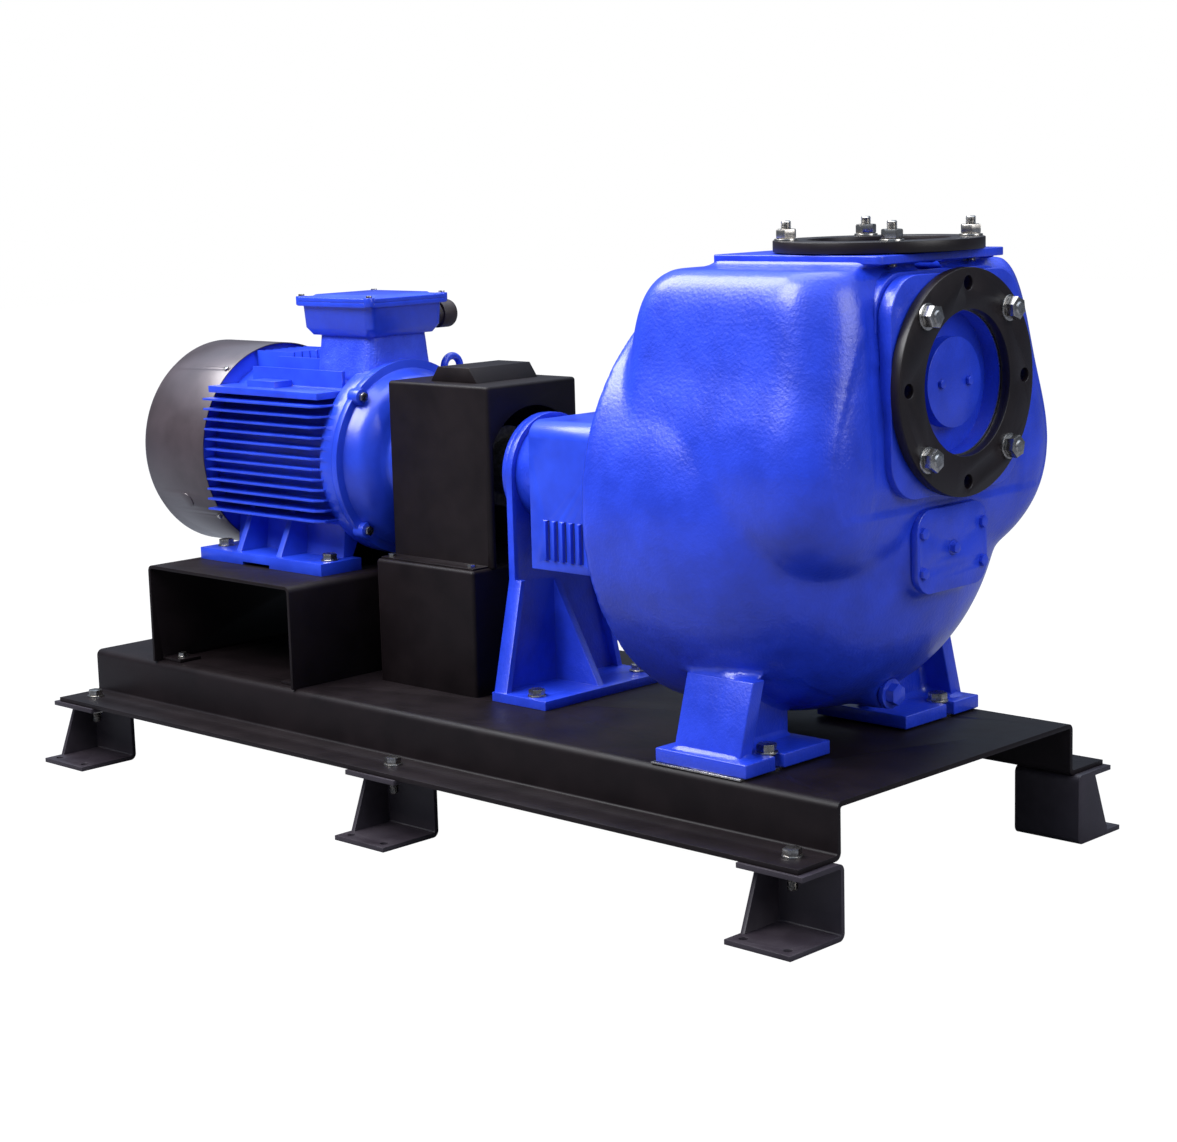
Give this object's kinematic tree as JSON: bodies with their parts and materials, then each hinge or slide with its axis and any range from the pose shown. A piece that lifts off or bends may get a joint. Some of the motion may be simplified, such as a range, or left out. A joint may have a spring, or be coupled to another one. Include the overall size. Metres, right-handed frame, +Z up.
{
  "type": "self-priming trash pump",
  "caption": "Horizontal self-priming trash pump coupled to an electric motor on a bent-plate base with bracket feet, flanged suction and discharge ports and a guarded coupling.",
  "frame": {"origin": "on the floor, at the centre of the outer anchor holes of the feet", "axes": "+X along the shaft from the motor to the suction flange, +Y to the far side in the picture, +Z up"},
  "size_m": [1.874, 0.866, 1.022],
  "materials": {
    "blue_enamel": "gloss",
    "black_enamel": "satin",
    "cowl_paint": "satin",
    "zinc_plated": "satin",
    "steel": "satin",
    "rubber": "matte",
    "black_plastic": "matte",
    "copper": "satin",
    "grey_iron": "rough"
  },
  "bodies": {
    "frame": {"base_frame": "black_enamel", "motor_riser": "black_enamel", "guard_stand": "black_enamel", "coupling_guard": "black_enamel", "guard_cap": "black_enamel", "suction_flange": "black_enamel", "discharge_flange": "black_enamel", "foot_bracket_right_rear": "black_enamel", "foot_bracket_left_rear": "black_enamel", "foot_bracket_right_middle": "black_enamel", "foot_bracket_left_middle": "black_enamel", "foot_bracket_right_front": "black_enamel", "foot_bracket_left_front": "black_enamel", "motor_frame": "blue_enamel", "drive_end_shield": "blue_enamel", "terminal_box": "blue_enamel", "terminal_box_lid": "blue_enamel", "bearing_frame": "blue_enamel", "bearing_cap": "blue_enamel", "shaft_cover": "blue_enamel", "pedestal": "blue_enamel", "pump_casing": "blue_enamel", "inspection_cover": "blue_enamel", "lifting_eye": "blue_enamel", "fan_cowl": "cowl_paint", "foot_bracket_bolts": "zinc_plated", "motor_screws": "zinc_plated", "motor_foot_bolts": "zinc_plated", "guard_screws": "zinc_plated", "bearing_frame_screws": "zinc_plated", "deck_bolts": "zinc_plated", "flange_studs": "zinc_plated", "flange_nuts": "zinc_plated", "inspection_cover_screws": "zinc_plated", "pipe_plugs": "zinc_plated", "pump_foot_shims": "zinc_plated", "bearing_outer_rings": "steel", "stator_core": "steel", "valve_hinge": "steel", "seal_seat": "steel", "flange_gaskets": "rubber", "cable_gland": "black_plastic", "stator_windings": "copper", "rear_end_shield": "grey_iron", "seal_plate": "grey_iron", "wear_plate": "grey_iron"},
    "motor_rotor": {"motor_shaft": "steel", "rotor_core": "steel", "cooling_fan": "black_plastic", "motor_coupling_hub": "grey_iron", "motor_bearing_inner_rings": "steel"},
    "pump_rotor": {"pump_shaft": "steel", "pump_coupling_hub": "grey_iron", "coupling_spider": "rubber", "impeller": "grey_iron", "impeller_nut": "steel", "seal_ring": "steel", "pump_bearing_inner_rings": "steel"},
    "suction_flap": {"check_valve_flap": "blue_enamel", "flap_screws": "zinc_plated"}
  },
  "joints": [
    {"name": "motor_spin", "type": "hinge", "parent": "frame", "child": "motor_rotor", "pos_m": [0, 0, 0.589], "axis": [1, 0, 0], "continuous": true},
    {"name": "pump_spin", "type": "hinge", "parent": "frame", "child": "pump_rotor", "pos_m": [0, 0, 0.589], "axis": [1, 0, 0], "continuous": true},
    {"name": "flap_swing", "type": "hinge", "parent": "frame", "child": "suction_flap", "pos_m": [0.865, 0, 0.916], "axis": [0, 1, 0], "range_deg": [0, 60]}
  ],
  "couplings": [
    {"joint": "pump_spin", "follows": "motor_spin", "ratio": 1}
  ]
}
